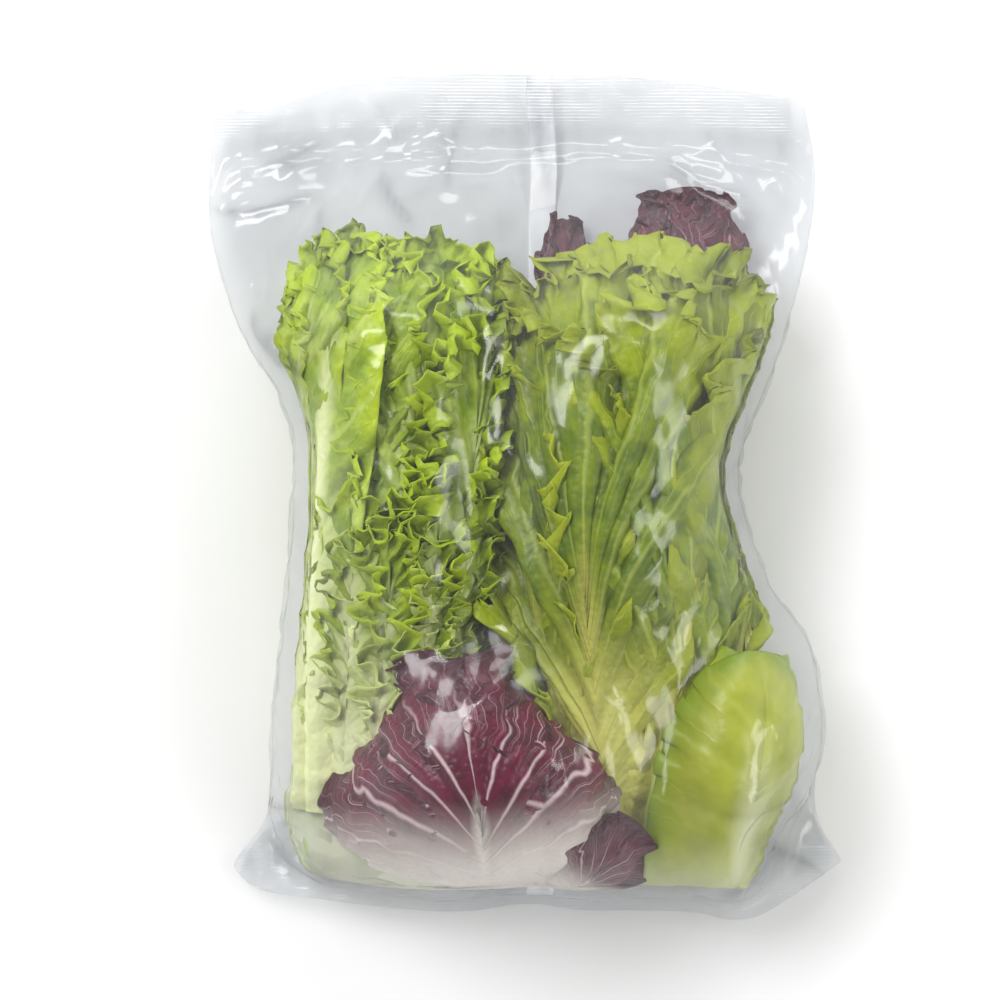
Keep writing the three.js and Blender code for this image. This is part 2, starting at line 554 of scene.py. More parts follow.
# %% Wrap leaves round a head
def head_profile(head, height):
    """The head's fullness along it, 0 to 1."""
    spread = smooth(height, head.get("spread_from", -0.12), head["shoulder"])
    grow = head["neck"] + (1 - head["neck"]) * spread
    return grow * (1 - head["close"] * smooth(height, head.get("close_from", 0.6), 1.12))


def head_span(head, part):
    """Which share of the bag's height the head fills, from its butt to its tips."""
    rise = smooth(part, 0.0, head["rise"])
    low = head["span_butt"][0] + (head["span_tip"][0] - head["span_butt"][0]) * rise
    high = head["span_butt"][1] + (head["span_tip"][1] - head["span_butt"][1]) * rise
    return low, high


def wrap_leaf(across, along, lift, head, angle, layer):
    """Points of a leaf, in millimetres, wrapped round its head and turned into place."""
    part = along / head["length"]
    full = head_profile(head, part) * layer
    radius = 0.5 * (head["half_width"] + head["half_depth"]) * full
    turn = np.radians(angle) + across / radius
    x = np.cos(turn) * (head["half_width"] * full + lift)
    lean = math.radians(head["turn"])
    flat_x = head["base"][0] + x * math.cos(lean) - along * math.sin(lean)
    flat_y = head["base"][1] + x * math.sin(lean) + along * math.cos(lean)
    ground = read_map(ground_map, flat_x, flat_y)
    room = np.maximum(read_map(roof_map, flat_x, flat_y) - ground, 8)
    low, high = head_span(head, part)
    middle = ground + room * (low + high) / 2
    z = middle + np.sin(turn) * (room * (high - low) / 2 * layer * head["bulge"] + lift)
    return np.stack([flat_x, flat_y, z], axis=1)


# %% [markdown]
# One leaf is a grid that is shaped, wrapped round its head and pressed inside the bag. Its rows crowd
# towards the rim, where the frills need them. Each point also keeps four marks for its colours: how
# deep it lies in a groove, which places a painted shade, its height on the leaf, the leaf's own chance
# number, and its way outwards.

# %% Make and join leaves
ROW_CROWDING = 0.55


def make_leaf(kind, head, angle, layer, seed, detail=1.0):
    """One leaf as a mesh, with a map of its veins and marks for its colours."""
    columns = int(kind["columns"] * detail)
    bm = leaf_grid(columns - columns % 2, max(6, int(kind["rows"] * detail)))
    mesh = bpy.data.meshes.new("leaf")
    bm.to_mesh(mesh)
    bm.free()
    a, v = read_places(mesh)[:, :2].T
    v = np.clip(v, 0, 1) ** ROW_CROWDING
    across, along, lift, groove, height = shape_leaf(a, v, kind, seed)
    write_points(mesh, press_inside(wrap_leaf(across, along, lift, head, angle, layer)))
    chance = np.random.default_rng(seed + 77).uniform()
    marks = np.stack([groove, np.clip(height, 0, 1), 0 * v + chance, v], axis=1)
    colours = mesh.attributes.new("marks", "FLOAT_COLOR", "POINT")
    colours.data.foreach_set("color", marks.ravel())
    return mesh


def join_leaves(name, leaves, material, thickness):
    """All leaves of one sort as one piece, merged along their midribs and given their thickness."""
    bm = bmesh.new()
    for leaf in leaves:
        one = bmesh.new()
        one.from_mesh(leaf)
        bmesh.ops.remove_doubles(one, verts=one.verts, dist=1e-6)
        one.to_mesh(leaf)
        one.free()
        bm.from_mesh(leaf)
        bpy.data.meshes.remove(leaf)
    piece = new_piece(name, bm)
    piece.data.shade_smooth()
    piece.data.materials.append(material)
    skin = piece.modifiers.new("thickness", "SOLIDIFY")
    skin.thickness = thickness * MM
    skin.offset = 0.0
    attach(piece, "root")
    print(name, "has", len(leaves), "leaves and", len(piece.data.polygons) * 4, "triangles")


# %% [markdown]
# ## Leaf finishes
# Green leaves are pale at the butt and along the ribs, fuller green in the blade and yellower at the
# frilled rim. Their grooves are painted deep green, a painted shade for the shadow that falls in them.
# Veins branch from the midrib, so their pattern follows the leaf's own map: side veins, finer ones
# between them and a faint net of the finest. The same groups of nodes serve every leaf, each with its
# own values.


# %% Vein group
def make_vein_group():
    group, given, result = new_group(
        "leaf veins",
        [("Map", "Vector", None), ("Count", "Float", 20.0), ("Width", "Float", 0.2),
         ("Wander", "Float", 0.02)],
        [("Vein", "Float"), ("Fine vein", "Float")])
    shaky = add_noise(group, given["Map"], 5.0, 1.5)
    parts = group.nodes.new("ShaderNodeSeparateXYZ")
    feed(group, parts.inputs[0], given["Map"])
    offset = maths(group, "SUBTRACT", shaky, 0.5)
    column = maths(group, "ADD", parts.outputs[0], maths(group, "MULTIPLY", offset, given["Wander"]))
    out = parts.outputs[1]
    thinning = maths(group, "SUBTRACT", 1.0, maths(group, "MULTIPLY", out, 0.8))
    bands = []
    for factor, share, start in ((1.0, 1.0, -0.4), (2.0, 0.6, 0.15), (5.0, 0.7, 0.1)):
        place = maths(group, "MULTIPLY", column, maths(group, "MULTIPLY", given["Count"], factor))
        gap = maths(group, "ABSOLUTE", maths(group, "SUBTRACT", maths(group, "FRACT", place), 0.5))
        width = maths(group, "MULTIPLY", maths(group, "MULTIPLY", given["Width"], share), thinning)
        line = maths(group, "SUBTRACT", 1.0, ease(group, gap, 0.0, width))
        bands.append(maths(group, "MULTIPLY", line, ease(group, out, start, start + 0.3)))
    feed(group, result["Vein"], maths(group, "MAXIMUM", bands[0], maths(group, "MULTIPLY", bands[1], 0.7)))
    feed(group, result["Fine vein"], bands[2])
    return group


vein_group = make_vein_group()


# %% [markdown]
# Blotches are soft changes of colour a centimetre or so across. Pebbles break up the leaf's shine, and
# cells are the little cushions between the finest veins.


# %% Leaf skin group
def make_skin_group():
    group, given, result = new_group(
        "leaf skin", [("Place", "Vector", None), ("Size", "Float", 120.0)],
        [("Blotch", "Float"), ("Pebbles", "Float"), ("Cells", "Float")])
    scaled = group.nodes.new("ShaderNodeVectorMath")
    scaled.operation = "SCALE"
    feed(group, scaled.inputs[0], given["Place"])
    feed(group, scaled.inputs["Scale"], given["Size"])
    place = scaled.outputs[0]
    feed(group, result["Blotch"], add_noise(group, place, 1.0, 2.0, 0.6))
    feed(group, result["Pebbles"], add_noise(group, place, 9.0, 2.0, 0.6))
    cells = group.nodes.new("ShaderNodeTexVoronoi")
    cells.feature = "F1"
    feed(group, cells.inputs["Vector"], place)
    cells.inputs["Scale"].default_value = 3.2
    edge = ease(group, cells.outputs["Distance"], 0.2, 0.75)
    feed(group, result["Cells"], maths(group, "SUBTRACT", 1.0, edge))
    return group


skin_group = make_skin_group()


# %% [markdown]
# The colours of a leaf are laid over each other like coats of paint: the blotched blade, the rim, the
# painted shade of the grooves, the veins, and last the pale base and midrib. The masks that place them
# come from the marks on each point and from the two groups above. All leaves share this order, so it
# is a group as well.

# %% Leaf colour group
LEAF_MASKS = ("Groove depth", "Height", "Out", "Chance", "Blotch", "Veins", "Fine veins")
LEAF_PAINTS = ("blade", "blade light", "rim", "groove", "vein", "base")
LEAF_SHARES = ("rim from", "groove share", "vein share", "vein reach", "fine share", "base from",
               "base to", "base bow", "rib width", "rib fade", "richness")


def make_leaf_colour_group():
    group, given, result = new_group(
        "leaf colours",
        [(label, "Float", None) for label in LEAF_MASKS + LEAF_SHARES]
        + [(label, "Color", None) for label in LEAF_PAINTS],
        [("Colour", "Color")])

    def fall(value, start, width):
        """1 below start, 0 past start and width."""
        return maths(group, "SUBTRACT", 1.0, ease(group, value, start, maths(group, "ADD", start, width)))

    height, out, blotch = given["Height"], given["Out"], given["Blotch"]
    blade = mix_colours(group, ease(group, blotch, 0.3, 0.7), given["blade"], given["blade light"])
    uneven = maths(group, "MULTIPLY", maths(group, "SUBTRACT", blotch, 0.5), 0.5)
    rim = ease(group, maths(group, "ADD", out, uneven), given["rim from"], 1.0)
    blade = mix_colours(group, rim, blade, given["rim"])
    # painted shade: the deeper a point lies in a groove, the more of the dark groove colour it gets
    grooves = maths(group, "MULTIPLY", given["Groove depth"], given["groove share"])
    blade = mix_colours(group, grooves, blade, given["groove"])
    veins = maths(group, "MULTIPLY", maths(group, "MULTIPLY", given["Veins"], given["vein share"]),
                  fall(height, given["vein reach"], 0.35))
    fine = maths(group, "MULTIPLY", given["Fine veins"], given["fine share"])
    blade = mix_colours(group, maths(group, "MAXIMUM", veins, fine), blade, given["vein"])
    from_butt = maths(group, "ADD", height, maths(group, "MULTIPLY", out, given["base bow"]))
    base = maths(group, "SUBTRACT", 1.0, ease(group, from_butt, given["base from"], given["base to"]))
    rib = maths(group, "MULTIPLY", fall(out, 0.0, given["rib width"]), fall(height, given["rib fade"], 0.5))
    blade = mix_colours(group, maths(group, "MAXIMUM", base, rib), blade, given["base"])
    tone = group.nodes.new("ShaderNodeHueSaturation")
    chance = maths(group, "MULTIPLY", given["Chance"], 0.28)
    feed(group, tone.inputs["Value"], maths(group, "ADD", 0.86, chance))
    feed(group, tone.inputs["Saturation"], given["richness"])
    feed(group, tone.inputs["Color"], blade)
    feed(group, result["Colour"], tone.outputs[0])
    return group


leaf_colour_group = make_leaf_colour_group()

# %% [markdown]
# Each sort of leaf is one material. It reads the leaf's map and marks, places the three groups with
# its own values, and ends in a Principled shader. The veins and cells also make a little relief.

# %% Leaf material
RELIEF_HEIGHT = 0.0006


def leaf_material(name, look):
    material, tree, shader = new_material(name)
    leaf_map = tree.nodes.new("ShaderNodeUVMap")
    leaf_map.uv_map = "leaf"
    marks = tree.nodes.new("ShaderNodeAttribute")
    marks.attribute_name = "marks"
    parts = tree.nodes.new("ShaderNodeSeparateColor")
    feed(tree, parts.inputs[0], marks.outputs["Color"])
    groove, height, chance = parts.outputs
    place = tree.nodes.new("ShaderNodeTexCoord").outputs["Object"]
    veins, fine_veins = place_group(tree, vein_group, Map=leaf_map.outputs[0], Count=look["veins"],
                                    Width=look["vein_width"], Wander=look["vein_wander"])
    blotch, pebbles, cells = place_group(tree, skin_group, Place=place, Size=look["skin_size"])
    values = {key: look[key.replace(" ", "_")] for key in LEAF_PAINTS + LEAF_SHARES}
    colour = place_group(tree, leaf_colour_group, Groove_depth=groove, Height=height, Chance=chance,
                         Out=marks.outputs["Alpha"], Blotch=blotch, Veins=veins, Fine_veins=fine_veins,
                         **values)[0]
    feed(tree, shader.inputs["Base Color"], colour)
    rough = maths(tree, "ADD", look["roughness"], maths(tree, "MULTIPLY", pebbles, 0.25))
    feed(tree, shader.inputs["Roughness"], rough)
    shader.inputs["Specular IOR Level"].default_value = 0.4
    relief = maths(tree, "ADD", maths(tree, "MULTIPLY", veins, 0.8), maths(tree, "MULTIPLY", cells, 0.5))
    bump = tree.nodes.new("ShaderNodeBump")
    bump.inputs["Strength"].default_value = look["bump"]
    bump.inputs["Distance"].default_value = RELIEF_HEIGHT
    feed(tree, bump.inputs["Height"], relief)
    feed(tree, shader.inputs["Normal"], bump.outputs[0])
    return material


# %% [markdown]
# The frilled lettuce is a full yellow-green, and its grooves get a nearly olive painted shade. The
# curly one is lighter, with white ribs. Radicchio is wine red with white veins from a white base, and
# the heart and the butts are pale all over. A look that is close to another starts as its copy. In
# every look, groove is the colour of the painted shade in the grooves.

# %% Looks of the leaves
# groove: the colour of the painted shade in each sort's grooves
green_look = dict(
    blade=paint(96, 120, 16), blade_light=paint(136, 154, 48), rim=paint(158, 170, 36),
    groove=paint(50, 66, 2), groove_share=0.95, vein=paint(192, 202, 118), vein_share=0.5,
    vein_reach=0.9, fine_share=0.25, base=paint(206, 204, 112), base_from=0.2, base_to=0.48,
    base_bow=0.1, rib_width=0.22, rib_fade=0.3, rim_from=0.55, veins=17.0, vein_width=0.16,
    vein_wander=0.03, skin_size=110.0, roughness=0.3, bump=0.6, richness=1.12)
curly_look = dict(
    green_look, blade=paint(122, 148, 34), blade_light=paint(166, 184, 84), rim=paint(176, 196, 62),
    groove=paint(70, 92, 12), base=paint(232, 236, 184), base_from=0.2, base_to=0.75, veins=13.0,
    rib_width=0.4, rib_fade=0.5)
red_look = dict(
    blade=paint(74, 14, 34), blade_light=paint(104, 28, 54), rim=paint(66, 12, 32),
    groove=paint(42, 6, 20), groove_share=0.6, vein=paint(222, 198, 200), vein_share=0.8,
    vein_reach=0.6, fine_share=0.35, base=paint(240, 230, 220), base_from=0.1, base_to=0.44,
    base_bow=-0.05, rib_width=0.14, rib_fade=0.3, rim_from=0.7, veins=13.0, vein_width=0.12,
    vein_wander=0.05, skin_size=120.0, roughness=0.26, bump=0.7, richness=1.1)
pale_look = dict(
    blade=paint(158, 166, 30), blade_light=paint(176, 182, 58), rim=paint(126, 150, 28),
    groove=paint(140, 152, 40), groove_share=0.5, vein=paint(206, 210, 110), vein_share=0.14,
    vein_reach=0.9, fine_share=0.06, base=paint(214, 218, 160), base_from=0.0, base_to=0.35,
    base_bow=0.1, rib_width=0.3, rib_fade=0.3, rim_from=0.6, veins=9.0, vein_width=0.2,
    vein_wander=0.03, skin_size=80.0, roughness=0.25, bump=0.25, richness=1.0)
butt_look = dict(
    pale_look, blade=paint(206, 214, 170), blade_light=paint(222, 226, 198), rim=paint(186, 202, 128),
    groove=paint(176, 190, 132), base=paint(226, 224, 196), vein=paint(232, 234, 210))

green_finish = leaf_material("frilled green leaf", green_look)
curly_finish = leaf_material("curly green leaf", curly_look)
red_finish = leaf_material("red leaf", red_look)
pale_finish = leaf_material("pale heart leaf", pale_look)
butt_finish = leaf_material("leaf base", butt_look)
print("leaf finishes:", [m.name for m in bpy.data.materials])

# %% [markdown]
# ## Cores
# A head is full of folded leaves that never show. A smooth core takes their place: a ball drawn out
# along the head and wrapped like its leaves, but at about half their distance from the middle. Where
# outer leaves part, it shows through. The green core is much darker than the green leaves, a painted
# shade for the dark between the folds further in; the red and the pale cores keep about the colours of
# their leaves.

# %% Head cores
CORE_SHARE = 0.62
CORE_MIDDLE = 0.43
CORE_REACH = 0.36


def core_material(name, dark, light):
    material, tree, shader = new_material(name)
    place = tree.nodes.new("ShaderNodeTexCoord").outputs["Object"]
    shade = ease(tree, place_group(tree, mottle_group, Place=place, Size=90.0)[0], 0.35, 0.65)
    feed(tree, shader.inputs["Base Color"], mix_colours(tree, shade, dark, light))
    shader.inputs["Roughness"].default_value = 0.6
    return material


def add_core(name, head, material):
    bm = bmesh.new()
    bmesh.ops.create_uvsphere(bm, u_segments=40, v_segments=28, radius=1.0)
    core = new_piece(name, bm)
    x, y, z = read_places(core.data).T
    part = CORE_MIDDLE + CORE_REACH * z
    layer = CORE_SHARE * np.maximum(np.hypot(x, y), 0.02) ** 0.7
    angle = np.degrees(np.arctan2(-y, x))
    points = wrap_leaf(0 * z, part * head["length"], 0 * z, head, angle, layer)
    write_points(core.data, press_inside(points))
    core.data.shade_smooth()
    core.data.materials.append(material)
    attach(core, "root")
    print(name, "has", len(core.data.polygons), "faces")


# painted shade: the green core is darker than its leaves, standing for the shade between the inner folds
green_core_painted_shade = core_material("green core, painted shade", paint(52, 70, 12), paint(84, 104, 30))
red_core = core_material("red core", paint(58, 12, 30), paint(90, 30, 54))
pale_core = core_material("pale core", paint(150, 158, 60), paint(176, 182, 96))

# %% [markdown]
# ## The frilled lettuce
# The right half of the bag is one big frilled lettuce. Three outer leaves face up and overlap like a
# fan that opens from a broad pale base. Their pleats are deep, and their frilled rims stand up at the
# overlaps and at the top. More leaves wrap round the sides and the back, and a short one low on the
# left closes the space between the two lettuces. The leaves that face up are one piece and the others
# another, so that each stays light enough to be handled.

# %% Frilled lettuce
frilled_leaf = dict(
    half_width=46.0, length=222.0, neck=0.3, waist=0.9, widest=0.68, squareness=0.75, rib_reach=0.42,
    fan=1.1, pleats=(8, 7.0), blister=(16.0, 0.9), rib=(5.0, 3.0),
    frills=((24.0, 5.0, 20.0), (9.5, 4.5, 11.0), (4.9, 2.2, 7.0)), frill_from=0.3, rim_band=16.0,
    rim_turn=1.9, columns=560, rows=18)
frilled_head = dict(
    base=(38.0, -130.0), length=226.0, half_width=56.0, half_depth=40.0, turn=-3.0,
    neck=0.38, spread_from=0.0, shoulder=0.56, close=0.1, close_from=0.75, rise=0.45,
    span_butt=(0.12, 0.6), span_tip=(0.06, 0.88), bulge=0.93)
# angle round the head, layer, share of the full length, and for shown leaves their plain side
FRILLED_SHOWN = ((114.0, 1.02, 1.0, -1), (66.0, 0.94, 1.0, 1),
                 (152.0, 0.94, 0.9, -1), (26.0, 0.97, 0.9, 1))
FRILLED_HIDDEN = ((90.0, 0.8, 1.04), (182.0, 0.9, 0.84), (216.0, 0.97, 0.95), (262.0, 1.0, 1.0),
                  (308.0, 0.97, 0.95), (348.0, 0.93, 0.86), (50.0, 0.64, 0.96), (130.0, 0.62, 0.98))
frilled_side_leaf = dict(frilled_leaf, half_width=27.6, length=111.0)
INNER_FRILL_FROM = 0.74


def calmer(kind, share):
    """The same leaf with lower frills, for a layer that must stay under the one above."""
    frills = tuple((length, height * share, fade) for length, height, fade in kind["frills"])
    return dict(kind, frills=frills, rim_turn=kind["rim_turn"] * share, frill_from=0.45)


def frilled_lettuce():
    leaves = []
    for number, (angle, layer, size, plain) in enumerate(FRILLED_SHOWN):
        kind = dict(frilled_leaf, length=frilled_leaf["length"] * size, plain_side=plain)
        leaves.append(make_leaf(kind, frilled_head, angle, layer, 11 + number))
    join_leaves("frilled_lettuce", leaves, green_finish, 0.5)


def frilled_lettuce_back():
    leaves = []
    for number, (angle, layer, size) in enumerate(FRILLED_HIDDEN):
        kind = dict(calmer(frilled_leaf, 0.6), length=frilled_leaf["length"] * size)
        kind["frill_from"] = 0.3 if layer > 0.85 else INNER_FRILL_FROM
        leaves.append(make_leaf(kind, frilled_head, angle, layer, 20 + number, 0.65))
    side_leaf = dict(calmer(frilled_side_leaf, 0.6), frill_from=0.3)
    leaves.append(make_leaf(side_leaf, frilled_head, 178.0, 1.2, 28, 0.65))
    join_leaves("frilled_lettuce_back", leaves, green_finish, 0.5)


frilled_lettuce()
frilled_lettuce_back()
add_core("frilled_lettuce_core", frilled_head, green_core_painted_shade)

# %% [markdown]
# ## The curly lettuce
# The left half is a lettuce with many narrower leaves. Their rims are curled much finer, and the
# outer ones are shorter, so their curls cover the pale ribs of the longer ones behind them. On its
# left side three leaves turn their thick white stems outwards and curl only near their tips.

# %% Curly lettuce
curly_leaf = dict(
    half_width=25.0, length=224.0, neck=0.45, waist=1.0, widest=0.74, squareness=0.8, rib_reach=0.8,
    fan=1.1, pleats=(7, 2.0), blister=(12.0, 1.0), rib=(4.5, 3.5),
    frills=((15.0, 4.5, 16.0), (7.5, 3.2, 8.0), (4.2, 1.3, 4.0)), frill_from=0.16, rim_band=10.0,
    rim_turn=1.7, columns=340, rows=10)
curly_head = dict(
    base=(-62.0, -120.0), length=240.0, half_width=43.0, half_depth=36.0, turn=-5.0,
    neck=0.55, shoulder=0.5, close=0.42, close_from=0.66, rise=0.4, span_butt=(0.12, 0.6),
    span_tip=(0.06, 0.88), bulge=0.95)
stem_leaf = dict(
    curly_leaf, half_width=20.0, neck=0.55, pleats=(5, 3.4), rib=(4.5, 7.0), frill_from=0.72,
    rib_reach=0.85)
CURLY_STEMS = ((144.0, 1.04, 0.98), (164.0, 1.02, 0.9), (126.0, 1.0, 1.0))
CURLY_SHOWN = ((104.0, 1.0, 0.55), (84.0, 1.0, 0.5), (62.0, 1.0, 0.6), (44.0, 0.98, 0.84),
               (20.0, 1.0, 0.66), (74.0, 0.8, 1.0), (112.0, 0.8, 0.98))
CURLY_HIDDEN = ((92.0, 0.66, 0.94), (30.0, 0.88, 0.97), (186.0, 1.0, 0.9), (222.0, 1.0, 0.97),
                (258.0, 1.0, 0.93), (294.0, 1.0, 0.97), (330.0, 1.0, 0.9), (0.0, 0.95, 0.93))
MIDDLE_LEAVES = 7
LEAF_TURN = 137.5


def curly_leaves(sort, table, seed, detail):
    leaves = []
    for number, (angle, layer, size) in enumerate(table):
        kind = dict(sort, length=curly_leaf["length"] * size)
        leaves.append(make_leaf(kind, curly_head, angle, layer, seed + number, detail))
    return leaves


def curly_middle():
    """The leaves further in, each turned from the last by the angle at which plants set their leaves."""
    rng = np.random.default_rng(5)
    leaves = []
    for number in range(MIDDLE_LEAVES):
        kind = dict(curly_leaf, length=curly_leaf["length"] * rng.uniform(0.8, 1.0))
        angle = (80 + number * LEAF_TURN) % 360
        layer = 0.72 - 0.03 * number
        leaves.append(make_leaf(calmer(kind, 0.8), curly_head, angle, layer, 140 + number, 0.7))
    return leaves


shown = curly_leaves(stem_leaf, CURLY_STEMS, 100, 1.0) + curly_leaves(curly_leaf, CURLY_SHOWN, 110, 1.0)
join_leaves("curly_lettuce", shown, curly_finish, 0.4)
hidden = curly_leaves(curly_leaf, CURLY_HIDDEN, 120, 0.85) + curly_middle()
join_leaves("curly_lettuce_back", hidden, curly_finish, 0.4)
add_core("curly_lettuce_core", curly_head, green_core_painted_shade)

# %% [markdown]
# ## The radicchio
# A round red head lies on the butts of the lettuces. White veins fan from its white base. One broad
# leaf makes the shown side, others close the ball behind it, and a small folded leaf sticks out at its
# foot on the right.

# %% Radicchio
radicchio_leaf = dict(
    half_width=68.0, length=98.0, neck=0.22, waist=1.0, widest=0.46, squareness=0.9, rib_reach=0.4,
    fan=1.3, pleats=(11, 2.2), blister=(14.0, 1.2), rib=(8.0, 3.0),
    frills=((26.0, 3.2, 16.0), (10.0, 1.4, 8.0)), frill_from=0.2, rim_band=8.0, rim_turn=0.9,
    columns=280, rows=24)
radicchio_head = dict(
    base=(-17.0, -153.0), length=79.0, half_width=50.0, half_depth=30.0, turn=6.0,
    neck=0.35, shoulder=0.42, close=0.62, close_from=0.5, rise=0.5, span_butt=(0.3, 0.8),
    span_tip=(0.42, 0.93), bulge=1.0)
RADICCHIO_OUTER = ((158.0, 0.95), (18.0, 0.96), (232.0, 0.93), (305.0, 0.9), (120.0, 0.82))
ear_leaf = dict(
    radicchio_leaf, half_width=17.0, length=44.0, neck=0.7, squareness=0.7, pleats=(5, 0.8),
    frills=((18.0, 0.9, 8.0),), columns=140, rows=14)
ear_head = dict(
    radicchio_head, base=(12.0, -153.0), length=44.0, half_width=17.0, half_depth=14.0, turn=-40.0,
    neck=0.75, close=0.25, span_butt=(0.3, 0.7), span_tip=(0.35, 0.8))


def radicchio():
    leaves = [make_leaf(radicchio_leaf, radicchio_head, 86.0, 1.05, 31)]
    for number, (angle, layer) in enumerate(RADICCHIO_OUTER):
        kind = dict(calmer(radicchio_leaf, 0.7), length=88.0)
        leaves.append(make_leaf(kind, radicchio_head, angle, layer, 40 + number, 0.8))
    for number, angle in enumerate((80.0, 200.0, 320.0)):
        leaves.append(make_leaf(ear_leaf, ear_head, angle, 1.0, 47 + number))
    join_leaves("radicchio", leaves, red_finish, 0.7)


radicchio()
add_core("radicchio_core", radicchio_head, red_core)

# %% [markdown]
# A second radicchio lies behind the frilled lettuce, at the top. Only its crown shows.

# %% Radicchio behind
back_radicchio_head = dict(
    base=(58.0, 40.0), length=70.0, half_width=24.0, half_depth=18.0, turn=-2.0,
    neck=0.6, shoulder=0.4, close=0.4, rise=0.5, span_butt=(0.1, 0.55), span_tip=(0.12, 0.66), bulge=1.0)
stray_leaf_head = dict(back_radicchio_head, base=(12.0, 36.0), half_width=7.0, half_depth=7.0)


def back_radicchio():
    kind = dict(calmer(radicchio_leaf, 0.8), half_width=32.0, length=76.0)
    leaves = []
    for number, angle in enumerate((70.0, 130.0, 20.0, 200.0, 290.0)):
        leaves.append(make_leaf(kind, back_radicchio_head, angle, 1.0 - 0.04 * number, 70 + number, 0.7))
    small = dict(kind, half_width=9.0, length=70.0)
    for number, angle in enumerate((60.0, 160.0, 270.0)):
        leaves.append(make_leaf(small, stray_leaf_head, angle, 1.0, 76 + number, 0.5))
    join_leaves("back_radicchio", leaves, red_finish, 0.7)


back_radicchio()

# %% [markdown]
# ## The pale heart
# The heart is a bud of smooth, thick, yellow-green leaves that hardly frill, so the same leaf is used
# with very low waves and wrapped round a short, full head.

# %% Pale heart
heart_leaf = dict(
    half_width=38.0, length=96.0, neck=0.85, waist=0.6, widest=0.45, squareness=1.0, rib_reach=0.85,
    fan=1.0, pleats=(5, 0.8), blister=(26.0, 0.5), rib=(7.0, 1.2),
    frills=((18.0, 0.9, 8.0),), frill_from=0.3, rim_band=4.0, rim_turn=-0.5, columns=180, rows=16)
pale_heart_head = dict(
    base=(69.0, -152.0), length=98.0, half_width=35.0, half_depth=26.0, turn=-9.0,
    neck=0.98, shoulder=0.2, close=0.62, rise=0.5, span_butt=(0.12, 0.85), span_tip=(0.2, 0.9), bulge=1.0)


def pale_heart():
    leaves = [make_leaf(heart_leaf, pale_heart_head, 76.0, 1.0, 51)]
    for number, angle in enumerate((150.0, 15.0, 230.0, 310.0)):
        leaves.append(make_leaf(heart_leaf, pale_heart_head, angle, 0.86, 60 + number))
    join_leaves("pale_heart", leaves, pale_finish, 0.8)


pale_heart()
add_core("pale_heart_core", pale_heart_head, pale_core)

# %% [markdown]
# ## The leaf bases
# The butt of the curly lettuce shows below its curls as a few broad leaf bases, nearly white. They
# are heart leaves, wider and thicker along the rib, laid low and flat.

# %% Leaf bases
base_leaf = dict(
    heart_leaf, half_width=46.0, length=60.0, neck=0.95, widest=0.4, rib=(10.0, 2.5), pleats=(5, 1.6))
base_head = dict(
    base=(-57.0, -153.0), length=60.0, half_width=44.0, half_depth=26.0, turn=0.0,
    neck=1.0, shoulder=0.2, close=0.3, rise=0.6, span_butt=(0.1, 0.8), span_tip=(0.1, 0.6), bulge=1.0)


def leaf_bases():
    leaves = []
    for number, angle in enumerate((110.0, 50.0, 165.0, 260.0)):
        leaves.append(make_leaf(base_leaf, base_head, angle, 1.0 - 0.05 * number, 80 + number))
    join_leaves("leaf_bases", leaves, butt_finish, 0.9)


leaf_bases()

# %% [markdown]
# ## The film
# The bag is one tube of thin clear film, sealed flat across both ends. A copy of the CAD bag gives its
# shape: its doubles are merged, its triangles joined back into a grid of quads, and one round of
# smoothing subdivision rounds the facets off. The CAD bag itself is left alone and only hidden.


# %% Film base
def film_base():
    bm = bmesh.new()
    bm.from_mesh(bag_node.data)
    bmesh.ops.remove_doubles(bm, verts=bm.verts, dist=1e-6)
    bmesh.ops.join_triangles(bm, faces=bm.faces, angle_face_threshold=3.1, angle_shape_threshold=3.1)
    bmesh.ops.recalc_face_normals(bm, faces=bm.faces)
    quads = sum(len(face.verts) == 4 for face in bm.faces)
    print("film grid:", quads, "quads of", len(bm.faces), "faces")
    return new_piece("film", bm)


def apply_modifiers(piece):
    """Bakes a piece's modifiers into its mesh."""
    graph = bpy.context.evaluated_depsgraph_get()
    baked = bpy.data.meshes.new_from_object(piece.evaluated_get(graph))
    old = piece.data
    piece.modifiers.clear()
    piece.data = baked
    bpy.data.meshes.remove(old)
    baked.name = piece.name


def subdivide(piece):
    """One round of smoothing subdivision, stretched back to the size that it started with."""
    before = read_points(piece.data)
    smoother = piece.modifiers.new("smoother", "SUBSURF")
    smoother.levels = 1
    smoother.render_levels = 1
    apply_modifiers(piece)
    after = read_points(piece.data)
    low, high = before.min(axis=0), before.max(axis=0)
    share = (after - after.min(axis=0)) / (after.max(axis=0) - after.min(axis=0))
    write_points(piece.data, low + share * (high - low))


film = film_base()
subdivide(film)
film_start = read_points(film.data)
print("film starts with", len(film_start), "points")

# %% [markdown]
# Film is cut a little larger than what it holds, and the spare part of it buckles into creases.
# A short cloth simulation does the same: the film grows by a few per cent where it is free, its seals
# and outline stay pinned, and a shell just inside it stands for the leaves. There is no gravity, as
# the leaves carry the film. Growth is given as a shrink below zero, through a vertex group.

# %% Crumple the film
GROWTH = 0.065
SIM_FRAMES = 16
SHELL_DEPTH = 1.0
FLAP_START = 108.0


def free_share(points):
    """How much of the film can move at each point: 0 at seals and outline, 1 over the contents."""
    room = read_map(room_map, points[:, 0], points[:, 1])
    return smooth(room, 1.0, 14.0)


def calm_share(points):
    """Where the film has little to spare: on the flat flap, and over the fullest part of the bag."""
    flap = 0.6 * smooth(points[:, 1], FLAP_START - 25, FLAP_START)
    room = read_map(room_map, points[:, 0], points[:, 1])
    return np.maximum(flap, 0.4 * smooth(room, 30.0, 70.0))


def name_group(piece, name, weights):
    group = piece.vertex_groups.new(name=name)
    for index, weight in enumerate(weights):
        group.add([index], float(weight), "REPLACE")


